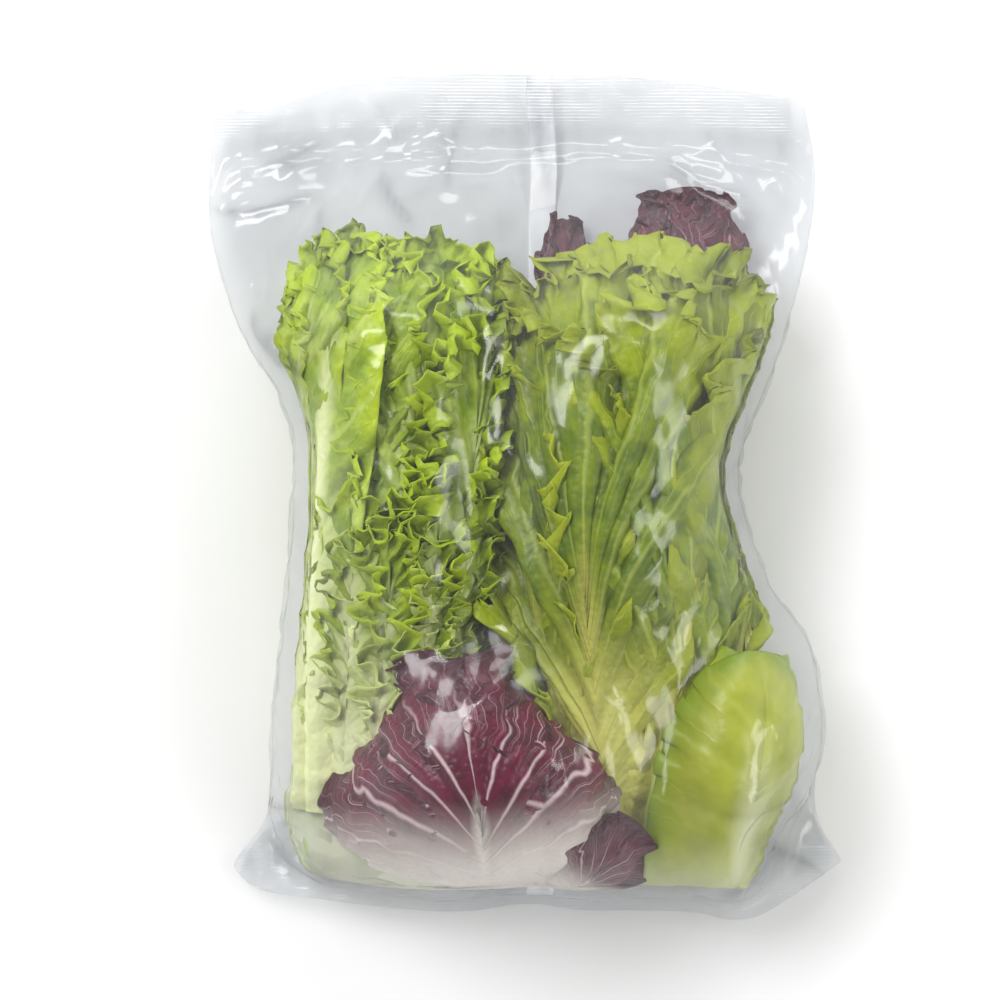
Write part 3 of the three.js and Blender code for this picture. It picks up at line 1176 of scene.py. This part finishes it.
def leaf_shell(points, normals, depth):
    """A shell a little inside the film, which the cloth can't enter."""
    mesh = film.data.copy()
    write_points(mesh, points - normals * depth)
    shell = bpy.data.objects.new("leaf shell", mesh)
    scene.collection.objects.link(shell)
    shell.modifiers.new("collision", "COLLISION")
    shell.collision.thickness_outer = 0.0004
    shell.collision.thickness_inner = 0.004
    return shell


def crumple_film():
    name_group(film, "held", 1 - free_share(film_start))
    name_group(film, "calm", calm_share(film_start))
    shell = leaf_shell(film_start, read_normals(film.data), SHELL_DEPTH)
    cloth = film.modifiers.new("cloth", "CLOTH")
    settings = cloth.settings
    settings.quality = 5
    settings.mass = 0.03
    settings.tension_stiffness = 15
    settings.compression_stiffness = 15
    settings.shear_stiffness = 5
    settings.bending_stiffness = 0.02
    settings.shrink_min = -GROWTH
    settings.shrink_max = 0.0
    settings.vertex_group_shrink = "calm"
    settings.use_pressure = True
    settings.uniform_pressure_force = 0.1
    settings.effector_weights.gravity = 0.0
    settings.vertex_group_mass = "held"
    cloth.collision_settings.distance_min = 0.0006
    cloth.point_cache.frame_start = 1
    cloth.point_cache.frame_end = SIM_FRAMES
    for number in range(1, SIM_FRAMES + 1):
        scene.frame_set(number)
    apply_modifiers(film)
    film.vertex_groups.clear()
    bpy.data.objects.remove(shell)


crumple_film()
moved = read_points(film.data) - film_start
shift = np.linalg.norm(moved, axis=1)
mean_shift, most_shift = (round(float(value), 2) for value in (shift.mean(), shift.max()))
print("the film moved", mean_shift, "mm on average and", most_shift, "at most")

# %% [markdown]
# Here and there the cloth buckles further than real film can, which would tear it away from the
# leaves or swell the bag. So no point may move more than a few millimetres, and less near the seals.
# The underside is also kept just above the table.

# %% Cap the creases and rest the film on the table
MAX_CREASE = 5.0
TABLE_GAP = 0.35


def rest_on_table(points):
    """Nothing of the film is lower than a hair above the table."""
    points[:, 2] = np.maximum(points[:, 2], TABLE_GAP)
    return points


cap = MAX_CREASE * (0.15 + 0.85 * free_share(film_start))
capped = moved * np.minimum(1, cap / np.maximum(shift, 1e-6))[:, None]
write_points(film.data, rest_on_table(film_start + capped))
subdivide(film)

# %% [markdown]
# The simulation gives the wide, soft bends. Film also keeps sharp creases from being handled, packed
# and sealed, and those are finer than its grid could buckle. Each is a narrow ridge along a short
# line. A few lie where the bag was folded; the rest are scattered, most of them short and low, and
# rows of small gathers run in from both seals.

# %% Sharp creases
FOLDS = (
    # from, to, height and width of each: first the flap's left side, then the shoulders and corners
    ((-119.0, 109.0), (-76.0, 110.0), 2.2, 2.0),
    ((-76.0, 112.0), (-74.0, 78.0), 1.5, 2.0),
    ((-54.0, 122.0), (-44.0, 98.0), 2.4, 2.4),
    ((-100.0, 126.0), (-76.0, 133.0), 2.0, 3.6),
    ((-102.0, 70.0), (-88.0, 44.0), 2.4, 2.2),
    ((-96.0, 62.0), (-80.0, 40.0), 1.8, 2.0),
    ((-104.0, -114.0), (-70.0, -115.0), 2.0, 1.8),
    ((66.0, -114.0), (100.0, -116.0), 1.6, 1.8),
    ((-98.0, -128.0), (-72.0, -150.0), 2.0, 2.2),
    ((84.0, -122.0), (112.0, -146.0), 2.2, 2.4),
    ((70.0, -150.0), (98.0, -132.0), 1.6, 2.0),
    ((52.0, 128.0), (86.0, 108.0), 1.5, 2.4),
    ((-20.0, 150.0), (-34.0, 112.0), 1.3, 2.4),
    ((8.0, 156.0), (6.0, 106.0), 1.6, 2.6),
)
SCATTERED_CREASES = 90
SEAL_GATHERS = 70
# how much folds and small creases darken the film's tint, a painted shade
FULL_FOLD_SHADE = 2.0
SMALL_FOLD_SHADE = 0.4


def random_creases(seed):
    """Short creases anywhere, turned more along the bag than across it, and gathers at both seals."""
    rng = np.random.default_rng(seed)
    creases = []
    for _ in range(SCATTERED_CREASES):
        middle = np.array([rng.uniform(-110, 110), rng.uniform(-150, 150)])
        heading = rng.normal(math.pi / 2, 0.7)
        reach = rng.uniform(6, 22) * np.array([math.cos(heading), math.sin(heading)])
        creases.append((middle - reach, middle + reach, rng.uniform(0.4, 1.5), rng.uniform(1.8, 3.0)))
    for _ in range(SEAL_GATHERS):
        end = rng.choice([-1.0, 1.0])
        start = np.array([rng.uniform(-112, 112), end * rng.uniform(140, 150)])
        reach = rng.uniform(8, 26)
        finish = start + np.array([rng.normal(0, 3), -end * reach])
        creases.append((start, finish, rng.uniform(0.4, 1.2), rng.uniform(1.7, 2.5)))
    return creases


def crease_height(points, start, finish, height, width):
    """A ridge with a sharp back along a line that wavers a little, fading out at both ends."""
    start, finish = np.array(start), np.array(finish)
    length = np.linalg.norm(finish - start)
    heading = (finish - start) / length
    offset = points[:, :2] - start
    along = offset @ heading
    aside = offset @ np.array([-heading[1], heading[0]]) + 0.06 * length * np.sin(along / length * 5)
    fade = smooth(along / length, -0.1, 0.25) * (1 - smooth(along / length, 0.7, 1.1))
    return height * fade * np.exp(-np.abs(aside) / width)


def crease_film():
    points = read_points(film.data)
    normals = read_normals(film.data)
    upper = normals[:, 2] > 0
    folds = np.zeros(len(points))
    for crease in FOLDS:
        folds += crease_height(points, *crease) * upper
    small = np.zeros(len(points))
    for number, crease in enumerate(random_creases(8)):
        small += crease_height(points, *crease) * (upper if number % 3 else ~upper)
    # painted shade: marks where folds and creases get a darker tint
    fold_shade = np.clip((folds + SMALL_FOLD_SHADE * small) / FULL_FOLD_SHADE, 0, 1)
    film.data.attributes.new("fold_shade", "FLOAT", "POINT").data.foreach_set("value", fold_shade)
    lift = (folds + small) * (0.25 + 0.75 * free_share(points))
    write_points(film.data, rest_on_table(points + normals * lift[:, None]))


crease_film()
film.data.shade_smooth()
print("film has", 2 * len(film.data.polygons), "triangles")

# %% [markdown]
# ## The film's finish
# Clear film hardly colours what is behind it. It shows by four things: it swallows a little light, it
# carries a thin haze, it gets greyer where it is seen edge on, and it shines white on its creases.
# Along hard folds it lets less light through, a painted shade for the dark that real folds get by
# bending the light away. The seals are crimped in fine lines, so they are hazier. A value on each point
# says where they are.

# %% Mark the seals
SEAL_ROOM = 1.9


def mark_seals(mesh):
    points = read_points(mesh)
    room = read_map(room_map, points[:, 0], points[:, 1])
    flat = 1 - smooth(room, SEAL_ROOM - 0.6, SEAL_ROOM + 0.6)
    ends = smooth(np.abs(points[:, 1]), 128.0, 138.0)
    mesh.attributes.new("seal", "FLOAT", "POINT").data.foreach_set("value", flat * ends)
    return float((flat * ends > 0.5).mean())


print("share of the film in the seals:", round(mark_seals(film.data), 3))


# %% [markdown]
# The finest wrinkles are too small for the mesh, so they are relief in the finish. A crinkle is a
# sharp ridge where a soft noise crosses its middle value. The crimp of the seals is a row of waves.
# The film and the strip of doubled film down its back share them, so they are a group.

# %% Film relief group
CRIMP_SCALE = 250.0


def make_film_relief_group():
    group, given, result = new_group(
        "film relief", [("Place", "Vector", None), ("Size", "Float", 60.0), ("Seal", "Float", 0.0)],
        [("Ridges", "Float"), ("Relief", "Float")])
    stretched = group.nodes.new("ShaderNodeVectorMath")
    stretched.operation = "MULTIPLY"
    feed(group, stretched.inputs[0], given["Place"])
    feed(group, stretched.inputs[1], (1.0, 0.6, 1.0))
    sized = group.nodes.new("ShaderNodeVectorMath")
    sized.operation = "SCALE"
    feed(group, sized.inputs[0], stretched.outputs[0])
    feed(group, sized.inputs["Scale"], given["Size"])
    noise = add_noise(group, sized.outputs[0], 1.0, 1.5, 0.5)
    fold = maths(group, "ABSOLUTE", maths(group, "SUBTRACT", noise, 0.5))
    ridge = maths(group, "SUBTRACT", 1.0, maths(group, "MULTIPLY", fold, 5.0), clamp=True)
    crimp = group.nodes.new("ShaderNodeTexWave")
    crimp.bands_direction = "Y"
    crimp.inputs["Scale"].default_value = CRIMP_SCALE
    feed(group, crimp.inputs["Vector"], given["Place"])
    crimped = maths(group, "MULTIPLY", crimp.outputs["Fac"], maths(group, "MULTIPLY", given["Seal"], 0.5))
    feed(group, result["Ridges"], ridge)
    feed(group, result["Relief"], maths(group, "ADD", ridge, crimped))
    return group


film_relief_group = make_film_relief_group()

# %% [markdown]
# A glass shader would bend and darken the view at every layer, so thin film is mixed from three plain
# shaders instead. A see-through one carries the tint, a matt one the haze, and a glossy one the
# shine, which grows steeply where the film is seen edge on. Doubled film is given a faint painted glow,
# light that it sends out itself in place of the light that its layers would catch and reflect.

# %% Film material
CRINKLE_SIZE = 52.0
CRINKLE_HEIGHT = 0.0012
SHINE_FLAT = 0.038
SHINE_EDGE = 0.4
HAZE_EDGE = 0.13
HAZE_SEAL = 0.10
# how far the painted fold shade darkens the tint
FOLD_SHADE_SHARE = 0.45


def read_mark(tree, name):
    """A value that each point of the mesh keeps."""
    node = tree.nodes.new("ShaderNodeAttribute")
    node.attribute_name = name
    return node.outputs["Fac"]


def facing_share(tree, blend, normal=None):
    """0 where the surface is seen straight on, 1 where it is seen edge on."""
    node = tree.nodes.new("ShaderNodeLayerWeight")
    node.inputs["Blend"].default_value = blend
    if normal is not None:
        feed(tree, node.inputs["Normal"], normal)
    return node.outputs["Facing"]


def mix_shaders(tree, share, first, second):
    node = tree.nodes.new("ShaderNodeMixShader")
    feed(tree, node.inputs[0], share)
    feed(tree, node.inputs[1], first)
    feed(tree, node.inputs[2], second)
    return node.outputs[0]


def film_material(name, tint, haze_share, haze_light, painted_glow=0.0):
    material, tree, haze = new_material(name)
    place = tree.nodes.new("ShaderNodeTexCoord").outputs["Object"]
    seal = read_mark(tree, "seal")
    ridges, relief = place_group(tree, film_relief_group, Place=place, Size=CRINKLE_SIZE, Seal=seal)
    bump = tree.nodes.new("ShaderNodeBump")
    bump.inputs["Strength"].default_value = 0.5
    bump.inputs["Distance"].default_value = CRINKLE_HEIGHT
    feed(tree, bump.inputs["Height"], relief)
    feed(tree, haze.inputs["Base Color"], mix_colours(tree, ridges, paint(216, 218, 222), haze_light))
    haze.inputs["Roughness"].default_value = 0.5
    # painted glow: the film sends out light of its own, though it is no lamp
    haze.inputs["Emission Color"].default_value = (1.0, 1.0, 1.0, 1.0)
    haze.inputs["Emission Strength"].default_value = painted_glow
    haze.inputs["Specular IOR Level"].default_value = 0.0
    feed(tree, haze.inputs["Normal"], bump.outputs[0])
    clear = tree.nodes.new("ShaderNodeBsdfTransparent")
    # painted shade: along folds the see-through tint turns grey, so the film lets less light through
    fold_shade = maths(tree, "MULTIPLY", read_mark(tree, "fold_shade"), FOLD_SHADE_SHARE)
    feed(tree, clear.inputs["Color"], mix_colours(tree, fold_shade, tint, paint(150, 153, 158)))
    share = maths(tree, "ADD", haze_share, maths(tree, "MULTIPLY", facing_share(tree, 0.2), HAZE_EDGE))
    share = maths(tree, "ADD", share, maths(tree, "MULTIPLY", seal, HAZE_SEAL))
    body = mix_shaders(tree, share, clear.outputs[0], haze.outputs[0])
    shine = tree.nodes.new("ShaderNodeBsdfGlossy")
    shine.inputs["Roughness"].default_value = 0.15
    feed(tree, shine.inputs["Normal"], bump.outputs[0])
    steep = maths(tree, "POWER", facing_share(tree, 0.5, bump.outputs[0]), 4.0)
    mirror = maths(tree, "ADD", SHINE_FLAT, maths(tree, "MULTIPLY", steep, SHINE_EDGE))
    whole = mix_shaders(tree, mirror, body, shine.outputs[0])
    feed(tree, tree.nodes["Material Output"].inputs["Surface"], whole)
    return material


film.data.materials.clear()
clear_finish = film_material("clear film", paint(247, 248, 249), 0.015, paint(240, 241, 245))
film.data.materials.append(clear_finish)
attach(film, "root")
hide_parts("salad_bag")
print("the film's finish has", len(clear_finish.node_tree.nodes), "nodes")

# %% [markdown]
# ## The fin seal
# A bag like this is rolled into a tube from one flat web, and its two long edges are sealed together
# down the middle of the back. The seal is a strip of doubled film that lies flat against the back.
# Through the empty flap it shows as a whiter band, brightened by a painted glow in place of the shine that
# it would catch.

# %% Fin seal
FIN_MIDDLE = 6.5
FIN_WIDTH = 10.0
FIN_START = bag_low[1] + 10.0
FIN_END = bag_high[1] - 1.0
FIN_THICKNESS = 0.15


def fin_seal():
    bm = bmesh.new()
    bmesh.ops.create_grid(bm, x_segments=8, y_segments=180, size=0.5)
    piece = new_piece("fin_seal", bm)
    across, along = read_places(piece.data)[:, :2].T
    y = FIN_START + (along + 0.5) * (FIN_END - FIN_START)
    x = FIN_MIDDLE + across * FIN_WIDTH + 1.2 * wander(y, 0 * y, 60.0, 3)
    ground = read_map(ground_map, x, y)
    ripple = 0.5 * wander(x * 1.5, y, 14.0, 4) * smooth(ground, 1.0, 5.0)
    z = np.maximum(ground - 1.0 + ripple, 0.12)
    write_points(piece.data, np.stack([x, y, z], axis=1))
    piece.data.attributes.new("seal", "FLOAT", "POINT").data.foreach_set("value", 0 * x)
    piece.data.shade_smooth()
    # the last value is a painted glow that makes the band whiter
    piece.data.materials.append(
        film_material("doubled film", paint(255, 255, 255), 0.6, paint(250, 250, 252), 0.3))
    wall = piece.modifiers.new("thickness", "SOLIDIFY")
    wall.thickness = FIN_THICKNESS * MM
    wall.offset = 0.0
    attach(piece, "root")
    print("the fin seal is", round(float(FIN_END - FIN_START), 1), "mm long")


fin_seal()
